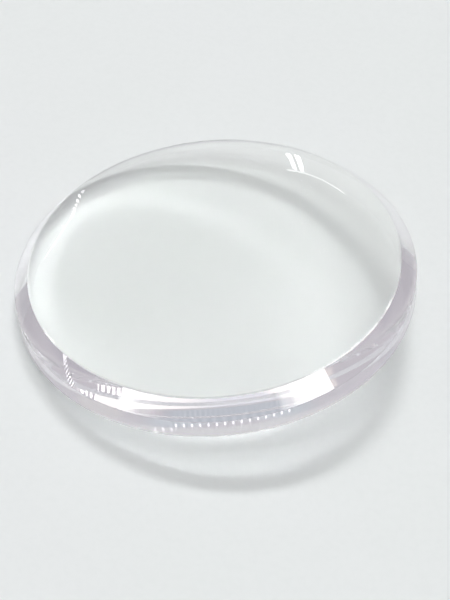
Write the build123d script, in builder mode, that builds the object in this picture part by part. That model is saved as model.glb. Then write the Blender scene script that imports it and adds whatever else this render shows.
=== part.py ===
from build123d import *
import os

# A loose flat watch crystal: one round plate of clear sapphire with a wide polished bevel all round.
# Millimetres. The origin is the centre of the flat inner face, and +Z points out of the watch.

# Driving dimensions of the crystal
diameter = 31.5
thickness = 3.0
bevel_width = 1.25
bevel_height = 1.25
seat_chamfer = 0.2

# Polished breaks on the two corners of the bevel, measured along the sides of each corner
face_edge_break = 0.08
shoulder_break = 0.05

# Radii and heights that follow from them
rim_radius = diameter / 2
face_radius = rim_radius - bevel_width
shoulder_height = thickness - bevel_height

# Corners of the half section, as radius and height
seat_corner = (rim_radius, 0)
shoulder_corner = (rim_radius, shoulder_height)
face_corner = (face_radius, thickness)
top_centre = (0, thickness)

# Crystal: the half section is turned once round the axis
with BuildPart() as crystal:
    with BuildSketch(Plane.XZ) as half_section:
        with BuildLine():
            Polyline((0, 0), seat_corner, shoulder_corner, face_corner, top_centre, close=True)
        make_face()
        # The seat chamfer leads the crystal into its gasket
        seat_vertex = half_section.vertices().sort_by_distance(seat_corner)[0]
        chamfer(seat_vertex, length=seat_chamfer)
        # Narrow polished breaks keep the corners of the bevel from chipping
        shoulder_vertex = half_section.vertices().sort_by_distance(shoulder_corner)[0]
        chamfer(shoulder_vertex, length=shoulder_break)
        face_vertex = half_section.vertices().sort_by_distance(face_corner)[0]
        chamfer(face_vertex, length=face_edge_break)
    revolve(axis=Axis.Z)

crystal.part.label = "crystal"

os.makedirs("parts", exist_ok=True)
export_step(crystal.part, "parts/crystal.step")
print(f"crystal: {crystal.part.volume:.1f} cubic mm")
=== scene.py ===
import math

import bpy
import numpy as np
from mathutils import Matrix, Vector


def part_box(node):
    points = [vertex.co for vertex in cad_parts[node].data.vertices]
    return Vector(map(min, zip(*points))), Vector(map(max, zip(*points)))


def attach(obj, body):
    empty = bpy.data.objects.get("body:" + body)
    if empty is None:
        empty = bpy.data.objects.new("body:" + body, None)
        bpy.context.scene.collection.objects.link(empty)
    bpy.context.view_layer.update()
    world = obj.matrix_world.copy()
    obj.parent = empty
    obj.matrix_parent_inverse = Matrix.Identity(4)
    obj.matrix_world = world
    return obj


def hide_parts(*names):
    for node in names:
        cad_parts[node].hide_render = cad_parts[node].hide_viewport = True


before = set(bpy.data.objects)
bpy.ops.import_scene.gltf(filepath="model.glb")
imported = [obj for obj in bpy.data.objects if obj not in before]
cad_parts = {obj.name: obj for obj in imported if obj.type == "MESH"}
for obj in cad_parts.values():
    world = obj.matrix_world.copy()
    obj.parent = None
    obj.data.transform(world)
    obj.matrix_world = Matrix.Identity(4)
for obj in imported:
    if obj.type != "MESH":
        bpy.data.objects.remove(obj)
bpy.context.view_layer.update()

MM = 0.001
DEGREES = 180 / math.pi

# Crystal: its radius and thickness come from the frame, its corners are its own
low_corner, high_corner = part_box("crystal")
RIM_RADIUS = high_corner[0]
THICKNESS = high_corner[2] - low_corner[2]
BEVEL_WIDTH = 1.25 * MM
BEVEL_HEIGHT = 1.25 * MM
SEAT_CHAMFER = 0.2 * MM
FACE_EDGE_BREAK = 0.08 * MM
FACE_EDGE_ROUND = 0.03 * MM
SHOULDER_ROUND = 0.08 * MM
SEAT_ROUND = 0.03 * MM
FACE_RADIUS = RIM_RADIUS - BEVEL_WIDTH
BEVEL_ANGLE = math.atan2(BEVEL_HEIGHT, BEVEL_WIDTH)
CRYSTAL_SIDES = 1440
ARC_STEPS = 6

# Noise runs about from 0.3 to 0.7; its scales are per metre. Specks are a scale, the inner and outer distance from a
# cell's middle and how high a cell's number has to be. A ramp is where it starts and ends, and then its two values.
NOISE_ENDS = (0.3, 0.7)

# Sapphire: the casts are pairs, between which a cloud varies
SAPPHIRE_INDEX = 1.768
ABOVE_SEAT = (0.02 * MM, 0.08 * MM)
PAST_FACE = (FACE_RADIUS - 0.02 * MM, FACE_RADIUS + 0.04 * MM)
NEAR_FACE = (THICKNESS - 0.1 * MM, THICKNESS - 0.08 * MM)
PLATE_CAST = ((0.985, 0.996, 0.98, 1), (0.995, 0.998, 0.99, 1))
# On the bevel and wall the cast is lilac and darker: painted shade on the rim, partly the glass's own tint
RIM_CAST_AND_SHADE = ((0.82, 0.79, 0.845, 1), (0.87, 0.845, 0.885, 1))
CAST_SCALE = 140
EDGE_GRAIN_SCALE = 9000
EDGE_ROUGHNESS = (0.03, 0.09)
EDGE_BAND = (FACE_RADIUS - 0.012 * MM, 0.066 * MM, 0.012 * MM)
DUST = (260, 0.018, 0.026, 0.86)
DUST_ROUGHNESS = 0.5
STREAK_SCALE = 55
STREAK_DEPTH = 0.00012 * MM

# Floor: the crystal leans on it, so under the crystal the floor slopes, and further out it levels off. Its rings are
# given as first radius, last radius and count, in millimetres.
FLOOR_DROP = 3.26 * MM
FLOOR_SLOPE_X = -0.192
FLOOR_SLOPE_Y = 0.073
SLOPE_ENDS = 26 * MM
LEVEL_STARTS = 85 * MM
FLOOR_RINGS = ((2, 40, 20), (44, 100, 15), (120, 600, 13))
FLOOR_SIDES = 180
TABLE_COLOURS = ((0.80, 0.824, 0.822, 1), (0.82, 0.829, 0.846, 1))
TABLE_GRAIN_COLOUR = (0.62, 0.65, 0.65, 1)
TABLE_SPECK_COLOUR = (0.30, 0.29, 0.28, 1)
TABLE_CLOUD_SCALE = 45
TABLE_GRAIN_SCALE = 1800
TABLE_GRAIN_RAMP = (0.35, 0.75, 0.0, 0.06)
TABLE_GRAIN_STRENGTH = 0.3
TABLE_GRAIN_DEPTH = 0.01 * MM
TABLE_ROUGHNESS = (0.82, 0.92)
TABLE_GLOSS = 0.1
TABLE_SPECKS = (75, 0.008, 0.016, 0.7)
TABLE_SPECK_SHARE = 0.6

# Lamp row, high on the far side, in millimetres: two thin tubes, which show on the right in the glass, and a line of
# small lamps, which show on the left
ROW_HEIGHT = 250 * MM
TUBES = (((-82, 64.7), (-30, 66.3), 1.0), ((-82, 66.8), (-30, 68.4), 1.3))
BEADS_START = (97.4, 76.6)
BEADS_END = (200.0, 96.0)
BEADS = 14
BEAD_LENGTH = 4.2
BEAD_WIDTH = 0.8
ROW_RADIANCE = 14.0

# Camera: where it stands and how it is held, found from the crystal's ellipses in the photograph. The bounces are
# as many as light makes inside the crystal before it is too faint to see.
CAMERA_DISTANCE = 8 * RIM_RADIUS
CAMERA_ELEVATION = math.radians(44.2)
CAMERA_ROLL = math.radians(5.7)
CAMERA_CLIP_START = 0.005
FOCAL_LENGTH_PIXELS = 1593.1
IMAGE_WIDTH_PIXELS = 450
IMAGE_HEIGHT_PIXELS = 600
CENTRE_PIXEL_X = 216.06
CENTRE_PIXEL_Y = 285.29
SENSOR_SIZE = 36.0
GLASS_BOUNCES = 96


def new_piece(name, vertices, faces, normals=None):
    """Makes a smooth-shaded mesh object from points and faces, with its own corner normals if they are given."""
    mesh = bpy.data.meshes.new(name)
    mesh.from_pydata(vertices.tolist(), [], faces)
    mesh.polygons.foreach_set("use_smooth", np.ones(len(faces), bool))
    if normals is not None:
        mesh.normals_split_custom_set(normals.tolist())
    mesh.update()
    piece = bpy.data.objects.new(name, mesh)
    bpy.context.scene.collection.objects.link(piece)
    return piece


def rounded_profile(corners, rounds, steps):
    """Turns a half section into a smooth line: each corner is cut off by a tangent arc of its own radius.

    Along a side the normal is the side's own. Along an arc it turns evenly from one side's normal to the next.
    Gives runs of points (radius, height) and normals, one run for each side and one for each arc.
    """
    corners = np.array(corners, float)
    sides = np.diff(corners, axis=0)
    sides /= np.linalg.norm(sides, axis=1)[:, None]
    normals = np.column_stack([sides[:, 1], -sides[:, 0]])
    runs = []
    start = corners[0]
    for index, radius in enumerate(rounds, start=1):
        before, after = sides[index - 1], sides[index]
        first = normals[index - 1]
        turn = math.acos(float(np.clip(before @ after, -1, 1)))
        reach = radius * math.tan(turn / 2)
        enter = corners[index] - before * reach
        centre = enter - first * radius
        runs.append((np.array([start, enter]), np.array([first, first])))
        share = np.linspace(0, 1, steps)[:, None] * turn
        sideways = np.array([-first[1], first[0]]) * np.sign(before[0] * after[1] - before[1] * after[0])
        arc_normals = np.cos(share) * first + np.sin(share) * sideways
        runs.append((centre + arc_normals * radius, arc_normals))
        start = centre + arc_normals[-1] * radius
    runs.append((np.array([start, corners[-1]]), np.array([normals[-1]] * 2)))
    return runs


def lathe(name, runs, around):
    """Carries a half section round the Z axis.

    A point (r, z) at angle a is (r cos a, r sin a, z), and its normal turns with it. The rings of neighbouring runs
    are shared. The first and last points lie on the axis and are one pole each, joined to their ring by triangles.
    """
    angle = np.arange(around) * 2 * np.pi / around
    cosine, sine = np.cos(angle), np.sin(angle)

    def turned(line):
        upright = np.repeat(line[:, 1:], around, 1)
        return np.stack([line[:, :1] * cosine, line[:, :1] * sine, upright], axis=2)

    profile = np.concatenate([points[:-1] for points, normals in runs] + [runs[-1][0][-1:]])
    starts = np.concatenate([normals[:-1] for points, normals in runs])
    ends = np.concatenate([normals[1:] for points, normals in runs])
    rings = profile[1:-1]
    poles = np.array([[0, 0, profile[0, 1]], [0, 0, profile[-1, 1]]])
    vertices = np.concatenate([turned(rings).reshape(-1, 3), poles])

    here = np.arange(around)
    following = np.roll(here, -1)
    ring = np.arange(len(rings) - 1)[:, None] * around
    quads = np.stack([ring + here, ring + following, ring + around + following, ring + around + here], axis=2)
    first, second = turned(starts[1:-1]), turned(ends[1:-1])
    quad_normals = np.stack([first, np.roll(first, -1, 1), np.roll(second, -1, 1), second], axis=2)

    last = (len(rings) - 1) * around
    below, above = len(vertices) - 2, len(vertices) - 1
    lower_fan = np.stack([np.full(around, below), following, here], axis=1)
    upper_fan = np.stack([last + here, last + following, np.full(around, above)], axis=1)
    fan_normals = np.repeat([[0.0, 0.0, -1.0], [0.0, 0.0, 1.0]], around * 3, axis=0)

    faces = quads.reshape(-1, 4).tolist() + lower_fan.tolist() + upper_fan.tolist()
    return new_piece(name, vertices, faces, np.concatenate([quad_normals.reshape(-1, 3), fan_normals]))


def floor_sheet(name):
    """A round sheet z = -drop + w (a x + b y), where w is 1 near the middle and goes smoothly to 0 further out.

    The rings stand closer together near the crystal. The middle point is joined to the first ring by triangles.
    """
    radii = np.concatenate([np.linspace(*ring) for ring in FLOOR_RINGS]) * MM
    angle = np.arange(FLOOR_SIDES) * 2 * np.pi / FLOOR_SIDES
    radius, angle = np.meshgrid(radii, angle, indexing="ij")
    x, y = radius * np.cos(angle), radius * np.sin(angle)
    share = np.clip((radius - SLOPE_ENDS) / (LEVEL_STARTS - SLOPE_ENDS), 0, 1)
    weight = 1 - share * share * (3 - 2 * share)
    z = -FLOOR_DROP + weight * (FLOOR_SLOPE_X * x + FLOOR_SLOPE_Y * y)
    vertices = np.concatenate([np.stack([x, y, z], axis=2).reshape(-1, 3), [[0, 0, -FLOOR_DROP]]])
    here = np.arange(FLOOR_SIDES)
    following = np.roll(here, -1)
    ring = np.arange(len(radii) - 1)[:, None] * FLOOR_SIDES
    outer = ring + FLOOR_SIDES
    quads = np.stack([ring + here, outer + here, outer + following, ring + following], axis=2)
    fan = np.stack([here, following, np.full(FLOOR_SIDES, len(vertices) - 1)], axis=1)
    return new_piece(name, vertices, quads.reshape(-1, 4).tolist() + fan.tolist())


class Wiring:
    """Adds nodes to one tree and joins them; numbers and tuples are written in, sockets are linked."""

    def __init__(self, tree):
        self.tree = tree

    def join(self, socket, value):
        if isinstance(value, bpy.types.NodeSocket):
            self.tree.links.new(value, socket)
        elif value is not None:
            socket.default_value = value

    def add(self, kind, *values, **settings):
        """A shader node with its settings, and its first inputs joined to the values."""
        node = self.tree.nodes.new("ShaderNode" + kind)
        for name, setting in settings.items():
            setattr(node, name, setting)
        for socket, value in zip(node.inputs, values):
            self.join(socket, value)
        return node

    def maths(self, operation, *values):
        return self.add("Math", *values, operation=operation).outputs[0]

    def ramp(self, value, start, end, low=0.0, high=1.0):
        """Goes smoothly from low at the start to high at the end."""
        return self.add("MapRange", value, start, end, low, high, interpolation_type="SMOOTHSTEP").outputs[0]

    def group(self, group_tree, *values):
        return self.add("Group", *values, node_tree=group_tree).outputs[0]

    def mix_colour(self, share, first, second):
        node = self.add("Mix", data_type="RGBA")
        for socket, value in zip((node.inputs[0], node.inputs[6], node.inputs[7]), (share, first, second)):
            self.join(socket, value)
        return node.outputs[2]

    def noise(self, place, scale, detail=2):
        node = self.add("TexNoise", place)
        node.inputs["Scale"].default_value = scale
        node.inputs["Detail"].default_value = detail
        return node.outputs["Fac"]

    def bump(self, height, strength, distance):
        node = self.add("Bump")
        node.inputs["Strength"].default_value = strength
        node.inputs["Distance"].default_value = distance
        self.join(node.inputs["Height"], height)
        return node.outputs[0]


def mask_group(name, *inputs):
    """An empty node group with one output, Mask. Gives the group, its wiring, its inputs and the output's socket."""
    tree = bpy.data.node_groups.new(name, "ShaderNodeTree")
    for label, kind in inputs:
        tree.interface.new_socket(label, in_out="INPUT", socket_type="NodeSocket" + kind)
    tree.interface.new_socket("Mask", in_out="OUTPUT", socket_type="NodeSocketFloat")
    given = tree.nodes.new("NodeGroupInput").outputs
    return tree, Wiring(tree), given, tree.nodes.new("NodeGroupOutput").inputs["Mask"]


def band_group():
    """A soft band: 1 while the value is within half a width of the centre, falling smoothly to 0 at the edge."""
    labels = ("Value", "Centre", "Half width", "Softness")
    tree, wires, given, mask = mask_group("soft_band", *((label, "Float") for label in labels))
    away = wires.maths("ABSOLUTE", wires.maths("SUBTRACT", given["Value"], given["Centre"]))
    inside = wires.maths("SUBTRACT", given["Half width"], given["Softness"])
    outside = wires.maths("ADD", given["Half width"], given["Softness"])
    wires.join(mask, wires.ramp(away, inside, outside, 1.0, 0.0))
    return tree


def speck_group():
    """Small round specks: 1 within the inner distance of a cell's middle and 0 past the outer one.

    Only the cells whose random number is above Pick have one. Distances are shares of a cell.
    """
    tree, wires, given, mask = mask_group("specks", ("Place", "Vector"), ("Scale", "Float"), ("Inner", "Float"),
                                          ("Outer", "Float"), ("Pick", "Float"))
    cells = wires.add("TexVoronoi", given["Place"])
    wires.join(cells.inputs["Scale"], given["Scale"])
    speck = wires.ramp(cells.outputs["Distance"], given["Inner"], given["Outer"], 1.0, 0.0)
    number = wires.add("SeparateColor", cells.outputs["Color"]).outputs[0]
    wires.join(mask, wires.maths("MULTIPLY", speck, wires.maths("GREATER_THAN", number, given["Pick"])))
    return tree


SOFT_BAND = band_group()
SPECKS = speck_group()


def new_material(name):
    """Gives a new material, its wiring, its shader's inputs and its object coordinates."""
    material = bpy.data.materials.new(name)
    material.use_nodes = True
    wires = Wiring(material.node_tree)
    shader = material.node_tree.nodes["Principled BSDF"].inputs
    return material, wires, shader, wires.add("TexCoord").outputs["Object"]


def clear_sapphire():
    """Polished clear sapphire: a faint cool cast in the plate, a lilac cast on the bevel and wall that is made darker
    to paint shade there, a fine edge break.

    Round the rim run faint polishing streaks. A few specks of dust lie on the faces.
    """
    material, wires, shader, place = new_material("clear_sapphire")
    x, y, z = wires.add("SeparateXYZ", place).outputs
    radius = wires.maths("SQRT", wires.maths("ADD", wires.maths("MULTIPLY", x, x), wires.maths("MULTIPLY", y, y)))
    rim = wires.maths("MULTIPLY", wires.ramp(radius, *PAST_FACE), wires.ramp(z, *ABOVE_SEAT))

    # Cast: a little uneven round the rim, nearly none in the plate. On the rim it is lilac and darker, which paints
    # shade on the bevel and wall.
    cloud = wires.noise(place, CAST_SCALE)
    plate_cast, rim_cast_and_shade = wires.mix_colour(cloud, *PLATE_CAST), wires.mix_colour(cloud, *RIM_CAST_AND_SHADE)
    wires.join(shader["Base Color"], wires.mix_colour(rim, plate_cast, rim_cast_and_shade))

    # Finely ground break between face and bevel, and sparse dust about a tenth of a millimetre across on the faces
    edge = wires.maths("MULTIPLY", wires.group(SOFT_BAND, radius, *EDGE_BAND), wires.ramp(z, *NEAR_FACE))
    edge_grain = wires.ramp(wires.noise(place, EDGE_GRAIN_SCALE), *NOISE_ENDS, *EDGE_ROUGHNESS)
    ground = wires.maths("MULTIPLY", edge, edge_grain)
    dust = wires.maths("MULTIPLY", wires.group(SPECKS, place, *DUST), wires.maths("SUBTRACT", 1.0, rim))
    dusty = wires.maths("MULTIPLY", dust, DUST_ROUGHNESS)
    wires.join(shader["Roughness"], wires.maths("MAXIMUM", ground, dusty))

    # Polishing streaks lie across the bevel, so their height changes only round the axis
    flat = wires.add("VectorMath", place, (1.0, 1.0, 0.0), operation="MULTIPLY").outputs[0]
    round_axis = wires.add("VectorMath", flat, operation="NORMALIZE").outputs[0]
    streaks = wires.maths("MULTIPLY", wires.noise(round_axis, STREAK_SCALE, 3), rim)
    wires.join(shader["Normal"], wires.bump(streaks, 1.0, STREAK_DEPTH))

    shader["IOR"].default_value = SAPPHIRE_INDEX
    shader["Transmission Weight"].default_value = 1.0
    return material


def pale_floor():
    """Matt pale table: soft unevenness, a fine grain, and a few dark specks far apart."""
    material, wires, shader, place = new_material("pale_floor")
    cloud = wires.noise(place, TABLE_CLOUD_SCALE)
    grain = wires.noise(place, TABLE_GRAIN_SCALE, 4)
    table = wires.mix_colour(cloud, *TABLE_COLOURS)
    table = wires.mix_colour(wires.ramp(grain, *TABLE_GRAIN_RAMP), table, TABLE_GRAIN_COLOUR)
    specks = wires.maths("MULTIPLY", wires.group(SPECKS, place, *TABLE_SPECKS), TABLE_SPECK_SHARE)
    wires.join(shader["Base Color"], wires.mix_colour(specks, table, TABLE_SPECK_COLOUR))
    wires.join(shader["Roughness"], wires.ramp(cloud, *NOISE_ENDS, *TABLE_ROUGHNESS))
    wires.join(shader["Normal"], wires.bump(grain, TABLE_GRAIN_STRENGTH, TABLE_GRAIN_DEPTH))
    shader["Specular IOR Level"].default_value = TABLE_GLOSS
    return material


def row_lamp(name, start, end, width):
    """A lamp of the overhead row, from start to end in the plane of the row, facing down."""
    start, end, width = np.array(start) * MM, np.array(end) * MM, width * MM
    length = float(np.linalg.norm(end - start))
    data = bpy.data.lights.new(name, "AREA")
    data.shape = "RECTANGLE"
    data.size, data.size_y = length, width
    data.energy = ROW_RADIANCE * math.pi * (length * width)
    lamp = bpy.data.objects.new(name, data)
    lamp.location = (*((start + end) / 2), ROW_HEIGHT)
    lamp.rotation_euler = (0, 0, math.atan2(end[1] - start[1], end[0] - start[0]))
    bpy.context.scene.collection.objects.link(lamp)


half_section = rounded_profile(
    [
        (0, 0),
        (RIM_RADIUS - SEAT_CHAMFER, 0),
        (RIM_RADIUS, SEAT_CHAMFER),
        (RIM_RADIUS, THICKNESS - BEVEL_HEIGHT),
        (FACE_RADIUS + FACE_EDGE_BREAK * math.cos(BEVEL_ANGLE), THICKNESS - FACE_EDGE_BREAK * math.sin(BEVEL_ANGLE)),
        (FACE_RADIUS - FACE_EDGE_BREAK, THICKNESS),
        (0, THICKNESS),
    ],
    [SEAT_ROUND, SEAT_ROUND, SHOULDER_ROUND, FACE_EDGE_ROUND, FACE_EDGE_ROUND],
    ARC_STEPS,
)
crystal = lathe("sapphire_crystal", half_section, CRYSTAL_SIDES)
crystal.data.materials.append(clear_sapphire())
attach(crystal, "root")
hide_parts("crystal")

floor = floor_sheet("floor")
floor.data.materials.append(pale_floor())

for number, (start, end, width) in enumerate(TUBES, start=1):
    row_lamp(f"tube_{number}", start, end, width)
beads_start = np.array(BEADS_START)
beads_way = np.array(BEADS_END) - beads_start
bead = beads_way * (BEAD_LENGTH / np.linalg.norm(beads_way))
for number, share in enumerate(np.linspace(0, 1, BEADS), start=1):
    place = beads_start + share * beads_way
    row_lamp(f"bead_{number}", place - bead / 2, place + bead / 2, BEAD_WIDTH)

# World: a light tent. Its soft lamps light only the floor, and what the polished glass shows of the tent is drawn
# apart. Directions are in degrees: the elevation above the horizon, the far turn from +Y and the near turn from the
# camera's side, -Y, both positive towards +X. Left and right say where a thing shows in the picture. A band is a
# centre, a half width and a softness; a ramp is where a mask starts and where it is full.
world = bpy.data.worlds.new("tent")
world.use_nodes = True
wires = Wiring(world.node_tree)
X, Y, Z = wires.add("SeparateXYZ", wires.add("TexCoord").outputs["Generated"]).outputs
elevation = wires.maths("MULTIPLY", wires.maths("ARCSINE", Z), DEGREES)
far_turn = wires.maths("MULTIPLY", wires.maths("ARCTAN2", X, Y), DEGREES)
near_turn = wires.maths("MULTIPLY", wires.maths("ARCTAN2", X, wires.maths("MULTIPLY", Y, -1.0)), DEGREES)
far_size = wires.maths("ABSOLUTE", far_turn)
near_size = wires.maths("ABSOLUTE", near_turn)
HORIZON = 0.02
above_horizon = wires.maths("MAXIMUM", Z, HORIZON / 2)


def band(value, centre, half_width, softness):
    return wires.group(SOFT_BAND, value, centre, half_width, softness)


def all_of(*masks):
    """Where every mask holds: their product."""
    result = masks[0]
    for mask in masks[1:]:
        result = wires.maths("MULTIPLY", result, mask)
    return result


def either(first, second):
    """Where one of two masks holds: their sum, so the two lie apart or share one whole between them."""
    return wires.maths("ADD", first, second)


def all_but(mask):
    return wires.maths("SUBTRACT", 1.0, mask)


def leaning(height, turn, lean):
    """The height plus lean times the turn, which is level along a slanting line."""
    return wires.maths("ADD", height, wires.maths("MULTIPLY", turn, lean))


def bowed(height, turn, middle, bow):
    """The height plus bow times the square of the turn from the middle, which is level along a curve."""
    square = wires.maths("POWER", wires.maths("SUBTRACT", turn, middle), 2.0)
    return wires.maths("ADD", height, wires.maths("MULTIPLY", square, bow))


def repeated(turn, step, half_width, softness, start=0.0):
    """A band in the middle of every step of the turn; its half width and softness are shares of the step."""
    part = wires.maths("FRACT", wires.maths("DIVIDE", wires.maths("SUBTRACT", turn, start), step))
    return band(part, 0.5, half_width, softness)


def ceiling_lamp(place, turn, length_band, width_band):
    """A lamp for the floor alone, on the plane one unit above, where a direction meets it at (X / Z, Y / Z).

    It has its middle, its turn, and its bands along and across.
    """
    east = wires.maths("SUBTRACT", wires.maths("DIVIDE", X, above_horizon), place[0])
    north = wires.maths("SUBTRACT", wires.maths("DIVIDE", Y, above_horizon), place[1])
    along = wires.maths("ADD", wires.maths("MULTIPLY", east, math.cos(turn)),
                        wires.maths("MULTIPLY", north, math.sin(turn)))
    across = wires.maths("SUBTRACT", wires.maths("MULTIPLY", north, math.cos(turn)),
                         wires.maths("MULTIPLY", east, math.sin(turn)))
    return all_of(band(along, *length_band), band(across, *width_band), on_floor,
                  wires.maths("GREATER_THAN", Z, HORIZON))


# Paths that haven't met the floor see what the glass shows; the rest light the floor. What the outside of the crystal
# mirrors is told from what is seen through it, because the last event of a path through it is a transmission.
path = wires.add("LightPath").outputs
seen = wires.maths("MAXIMUM", path["Is Camera Ray"], path["Is Glossy Ray"])
seen = wires.maths("MAXIMUM", seen, path["Is Transmission Ray"])
in_glass = all_of(seen, wires.maths("LESS_THAN", path["Diffuse Depth"], 0.5))
on_floor = all_but(in_glass)
mirrored = all_of(in_glass, all_but(path["Is Transmission Ray"]))

# Lamps for the floor: a long one on the far side, one above the camera's side, and a broad one overhead
SOFT_LAMP = ((0.18, 0.25), math.radians(4.6), (0.0, 0.16, 0.05), (0.0, 0.042, 0.012))
FRONT_LAMP = ((0.05, -0.36), 0.0, (0.0, 0.16, 0.04), (0.0, 0.11, 0.03))
BROAD_LAMP = (0.0, 0.45, 0.2)
soft_lamp = ceiling_lamp(*SOFT_LAMP)
front_lamp = ceiling_lamp(*FRONT_LAMP)
above_lamp = all_of(band(wires.maths("DIVIDE", X, above_horizon), *BROAD_LAMP),
                    band(wires.maths("DIVIDE", Y, above_horizon), *BROAD_LAMP), on_floor)

# Walls in the glass: darker straight behind and at the sides, with a low pale strip
WALL_BEHIND_TURN, WALL_BEHIND_HEIGHT = (0.0, 18.0, 6.0), (42.0, 6.0, 1.0)
SIDE_WALLS_START, SIDE_WALLS_HEIGHT = (45.0, 85.0), (40.0, 6.6, 1.0)
LEFT_WALL_TURNS, LEFT_WALL_HEIGHT = ((42.0, 16.0, 3.0), (-63.0, 12.0, 2.0)), (46.4, 0.9, 0.3)
LEFT_LOW_WALL_TURN, LEFT_LOW_WALL_HEIGHT = (47.0, 10.0, 1.0), (47.9, 0.55, 0.06)
LOW_STRIP_TURN, LOW_STRIP_HEIGHT = (0.0, 45.0, 8.0), (8.0, 4.0, 1.0)
wall_behind = all_of(band(far_size, *WALL_BEHIND_TURN), band(elevation, *WALL_BEHIND_HEIGHT), in_glass)
side_walls = all_of(wires.ramp(far_size, *SIDE_WALLS_START), band(elevation, *SIDE_WALLS_HEIGHT), in_glass)
left_wall = either(*(band(far_turn, *turn_band) for turn_band in LEFT_WALL_TURNS))
left_wall = all_of(left_wall, band(elevation, *LEFT_WALL_HEIGHT), in_glass)
left_low_wall = all_of(band(far_turn, *LEFT_LOW_WALL_TURN), band(elevation, *LEFT_LOW_WALL_HEIGHT), in_glass)
low_strip = all_of(band(elevation, *LOW_STRIP_HEIGHT), band(far_size, *LOW_STRIP_TURN), in_glass)

# The camera stand, which the near rim shows, and its top with fine streaks
ABOVE_MIDDLE = (51.0, 4.3, 0.2)
STAND_TURN = (0.0, 5.2, 1.2)
STAND_TOP_TURN, STAND_TOP_HEIGHT = (0.0, 27.0, 5.0), (48.7, 0.42, 0.06)
STREAKS = (2.3, 0.2, 0.2)
above_middle = band(elevation, *ABOVE_MIDDLE)
stand = all_of(band(near_size, *STAND_TURN), above_middle, in_glass)
stand_top = all_of(band(far_size, *STAND_TOP_TURN), band(elevation, *STAND_TOP_HEIGHT), in_glass)
streaks = all_of(stand_top, repeated(far_turn, *STREAKS))

# Pale boards beside the stand. The left one ends in two rows of slats, one above the other; the right one has a
# slanting inner side and a beige outer edge.
ROW_MIDDLE, ROW_LEAN, ROW_BOW, ROW_EDGE = 10.0, 0.1291, 0.02732, (47.773, 47.749)
LEFT_BOARD_FADE, LOWER_ROW_END, UPPER_ROW_END = (0.0, 6.5), (12.08, 11.92), (9.6, 9.45)
LOWER_SLATS_TURN, LOWER_SLATS = (12.68, 0.72, 0.05), (0.34, 0.24, 0.06)
UPPER_SLATS_TURN, UPPER_SLATS = (10.75, 1.2, 0.05), (0.42, 0.27, 0.06)
SLANT, SLANT_HEIGHT, SLANT_EDGE, RIGHT_BOARD_END = 12.0, 48.2, (-2.8, -4.8), (-9.5, -9.2)
BOARD_EDGE_TURN = (-9.75, 0.5, 0.15)
row = leaning(elevation, wires.maths("SUBTRACT", near_turn, ROW_MIDDLE), ROW_LEAN)
lower_row = wires.ramp(bowed(row, near_turn, ROW_MIDDLE, ROW_BOW), *ROW_EDGE)
upper_row = all_but(lower_row)
left_board = either(all_of(lower_row, wires.ramp(near_turn, *LOWER_ROW_END)),
                    all_of(upper_row, wires.ramp(near_turn, *UPPER_ROW_END)))
left_board = all_of(wires.ramp(near_turn, *LEFT_BOARD_FADE), left_board)
slats = either(all_of(lower_row, band(near_turn, *LOWER_SLATS_TURN), repeated(near_turn, *LOWER_SLATS)),
               all_of(upper_row, band(near_turn, *UPPER_SLATS_TURN), repeated(near_turn, *UPPER_SLATS)))
slats = all_of(slats, above_middle, in_glass)
slant = leaning(near_turn, wires.maths("SUBTRACT", elevation, SLANT_HEIGHT), SLANT)
right_board = all_of(wires.ramp(slant, *SLANT_EDGE), wires.ramp(near_turn, *RIGHT_BOARD_END))
boards = all_of(either(left_board, right_board), above_middle, in_glass)
board_edge = all_of(band(near_turn, *BOARD_EDGE_TURN), above_middle, in_glass)

# Side boards that the outer side of the bevel mirrors; each fades towards the camera in two steps, given as ramps
SIDE_LEAN, SIDE_HEIGHT = 0.236, (46.3, 2.2, 0.5)
LEFT_SIDE_STEPS, LEFT_SIDE_TURN = ((-33.0, -46.0, 0.0, 0.3), (-46.0, -56.0, 0.0, 0.7)), (-46.0, 13.0, 1.2)
RIGHT_SIDE_STEPS, RIGHT_SIDE_TURN = ((26.0, 32.0, 0.0, 0.5), (33.0, 39.0, 0.0, 0.5)), (40.0, 17.0, 0.3)
left_side = either(*(wires.ramp(near_turn, *step) for step in LEFT_SIDE_STEPS))
left_side = all_of(left_side, band(near_turn, *LEFT_SIDE_TURN))
right_side = either(*(wires.ramp(near_turn, *step) for step in RIGHT_SIDE_STEPS))
right_side = all_of(right_side, band(near_turn, *RIGHT_SIDE_TURN))
side_height = leaning(elevation, near_size, SIDE_LEAN)
sides = all_of(either(left_side, right_side), band(side_height, *SIDE_HEIGHT), mirrored)

# Line of small lamps on the left, low down, with a wider one at its end
LINE_LEAN, LINE_DOTS = 0.39, (1.35, 0.16, 0.06)
LINE_TURN, LINE_HEIGHT = (-86.8, 4.9, 0.1), (56.05, 0.10, 0.05)
END_LAMP_TURN, END_LAMP_HEIGHT = (-94.0, 2.2, 0.5), (56.15, 0.2, 0.06)
line_height = leaning(elevation, near_size, LINE_LEAN)
line_lamps = all_of(band(near_turn, *LINE_TURN), repeated(near_size, *LINE_DOTS),
                    band(line_height, *LINE_HEIGHT), mirrored)
end_lamp = all_of(band(near_turn, *END_LAMP_TURN), band(line_height, *END_LAMP_HEIGHT), mirrored)

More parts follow.
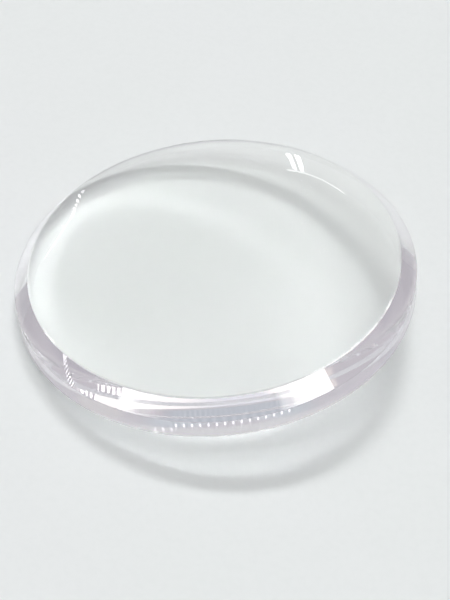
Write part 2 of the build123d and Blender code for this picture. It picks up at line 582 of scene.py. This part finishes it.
# Curved strips that the break at the face edge mirrors, with a gap. Their elevation is a sum of powers of the turn.
CURVE_START, CURVE_SHARES = -10.39, (0.6313, 0.009372, -0.00006417)
STRIP_WIDTH, STRIP_GAP = (0.0, 0.9, 0.5), (46.0, 2.1, 0.4)
RIGHT_STRIP_TURN, LEFT_STRIP_TURN = (68.5, 14.5, 1.5), (-56.0, 3.5, 1.0)
curve = CURVE_START
for power, share in enumerate(CURVE_SHARES, start=1):
    curve = wires.maths("ADD", curve, wires.maths("MULTIPLY", wires.maths("POWER", far_size, float(power)), share))
strip = band(wires.maths("SUBTRACT", elevation, curve), *STRIP_WIDTH)
strip_ends = either(band(far_turn, *RIGHT_STRIP_TURN), band(far_turn, *LEFT_STRIP_TURN))
strips = all_of(strip, all_but(band(elevation, *STRIP_GAP)), strip_ends, mirrored)

# Row of small lamps far behind, seen along the shoulder, and its last ones lower down
SMALL_BOW_MIDDLE, SMALL_BOW = 2.0, 0.0006
SMALL_START, SMALL_DOTS = -21.0, (2.65, 0.1, 0.09)
SMALL_TURN, SMALL_HEIGHT = (-0.9, 20.0, 0.05), (49.17, 0.05, 0.04)
LOW_LEAN, LOW_DOTS = 0.085, (1.95, 0.1, 0.09)
LOW_TURN, LOW_HEIGHT = (14.6, 2.8, 0.05), (9.08, 0.07, 0.05)
small_height = bowed(elevation, far_turn, SMALL_BOW_MIDDLE, SMALL_BOW)
small_lamps = all_of(band(far_turn, *SMALL_TURN), repeated(far_turn, *SMALL_DOTS, SMALL_START),
                     band(small_height, *SMALL_HEIGHT), in_glass)
low_height = leaning(elevation, far_turn, LOW_LEAN)
low_lamps = all_of(band(far_turn, *LOW_TURN), repeated(far_turn, *LOW_DOTS),
                   band(low_height, *LOW_HEIGHT), in_glass)

# Two thin slanting wires of light, mirrored by the flat faces at the end of each part of the lamp row
LEFT_WIRE_LEAN, LEFT_WIRE_TURN, LEFT_WIRE_HEIGHT = 0.78, (-7.3, 0.85, 0.1), (35.98, 0.013, 0.02)
RIGHT_WIRE_LEAN, RIGHT_WIRE_MIDDLE, RIGHT_WIRE_BOW = -0.35, 5.2, -0.0888
RIGHT_WIRE_TURN, RIGHT_WIRE_HEIGHT = (5.2, 1.3, 0.1), (38.755, 0.02, 0.025)
left_wire = leaning(elevation, far_turn, LEFT_WIRE_LEAN)
left_wire = all_of(band(far_turn, *LEFT_WIRE_TURN), band(left_wire, *LEFT_WIRE_HEIGHT), in_glass)
right_wire = bowed(leaning(elevation, far_turn, RIGHT_WIRE_LEAN), far_turn, RIGHT_WIRE_MIDDLE, RIGHT_WIRE_BOW)
right_wire = all_of(band(far_turn, *RIGHT_WIRE_TURN), band(right_wire, *RIGHT_WIRE_HEIGHT), in_glass)
thin_wires = either(left_wire, right_wire)

# The tent's own walls, from the horizon to the top, and then each part laid over the ones before it. The plain
# colour for in_glass is that of the walls as the glass shows them.
WALL_COLOURS, WALL_RISE = ((0.415, 0.405, 0.42, 1), (0.405, 0.41, 0.405, 1)), (0.0, 0.8)
light = wires.mix_colour(wires.ramp(Z, *WALL_RISE), *WALL_COLOURS)
for mask, colour in (
    (above_lamp, (1.15, 1.15, 1.15)),
    (in_glass, (0.64, 0.625, 0.645)),
    (side_walls, (0.51, 0.50, 0.52)),
    (left_wall, (0.55, 0.54, 0.57)),
    (left_low_wall, (0.715, 0.71, 0.69)),
    (wall_behind, (0.585, 0.58, 0.585)),
    (low_strip, (0.76, 0.775, 0.76)),
    (stand, (0.97, 1.0, 1.03)),
    (stand_top, (0.57, 0.63, 0.66)),
    (streaks, (0.68, 0.73, 0.76)),
    (board_edge, (0.93, 0.885, 0.84)),
    (boards, (1.40, 1.37, 1.29)),
    (slats, (2.3, 2.25, 2.2)),
    (sides, (7.0, 6.9, 6.7)),
    (line_lamps, (9.0, 9.0, 9.0)),
    (end_lamp, (8.0, 8.0, 8.0)),
    (strips, (6.0, 6.0, 6.0)),
    (thin_wires, (3.5, 3.5, 3.5)),
    (small_lamps, (2.0, 2.0, 2.05)),
    (low_lamps, (1.6, 1.6, 1.6)),
    (soft_lamp, (38.6, 39.1, 38.6)),
    (front_lamp, (9.9, 10.1, 9.9)),
):
    light = wires.mix_colour(mask, light, (*colour, 1))
background = world.node_tree.nodes["Background"].inputs
wires.join(background["Color"], light)
background["Strength"].default_value = 1.0
bpy.context.scene.world = world

camera_data = bpy.data.cameras.new("camera")
camera_data.sensor_width = SENSOR_SIZE
camera_data.lens = FOCAL_LENGTH_PIXELS / IMAGE_HEIGHT_PIXELS * SENSOR_SIZE
camera_data.clip_start = CAMERA_CLIP_START
camera_data.shift_x = (IMAGE_WIDTH_PIXELS / 2 - CENTRE_PIXEL_X) / IMAGE_HEIGHT_PIXELS
camera_data.shift_y = -(IMAGE_HEIGHT_PIXELS / 2 - CENTRE_PIXEL_Y) / IMAGE_HEIGHT_PIXELS
camera = bpy.data.objects.new("camera", camera_data)
bpy.context.scene.collection.objects.link(camera)
from_crystal = Vector((0, -math.cos(CAMERA_ELEVATION), math.sin(CAMERA_ELEVATION)))
aim = (-from_crystal).to_track_quat("-Z", "Y").to_matrix()
camera.location = from_crystal * CAMERA_DISTANCE
camera.rotation_mode = "QUATERNION"
camera.rotation_quaternion = (aim @ Matrix.Rotation(-CAMERA_ROLL, 3, "Z")).to_quaternion()
bpy.context.scene.camera = camera

scene = bpy.context.scene
scene.view_settings.view_transform = "Standard"
scene.cycles.max_bounces = GLASS_BOUNCES
scene.cycles.transmission_bounces = GLASS_BOUNCES
scene.cycles.glossy_bounces = GLASS_BOUNCES
scene.cycles.blur_glossy = 0.0
scene.cycles.sample_clamp_indirect = 0.0
